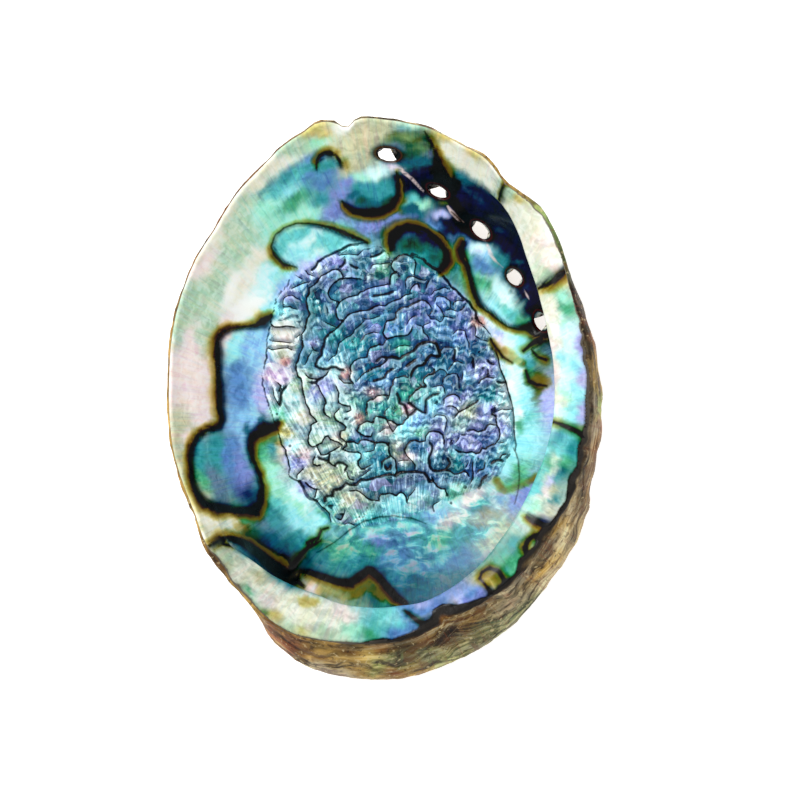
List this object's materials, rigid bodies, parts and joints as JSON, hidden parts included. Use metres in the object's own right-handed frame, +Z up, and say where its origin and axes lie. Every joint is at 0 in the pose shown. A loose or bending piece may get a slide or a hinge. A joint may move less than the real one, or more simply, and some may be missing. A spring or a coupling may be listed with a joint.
{
  "type": "abalone shell",
  "caption": "Natural abalone shell lying open side up: deep oval pearly bowl with a rolled shelf along one side and a row of breathing holes.",
  "frame": {"origin": "centre of the outline in plan, at the level of the worn flat that the shell rests on", "axes": "+Y along the length to the end with the newest breathing hole, +X towards the rolled shelf, +Z up out of the open bowl"},
  "size_m": [0.1316, 0.1704, 0.0453],
  "materials": {
    "shell_pearl": "gloss"
  },
  "bodies": {
    "root": {"shell": "shell_pearl"}
  },
  "joints": []
}
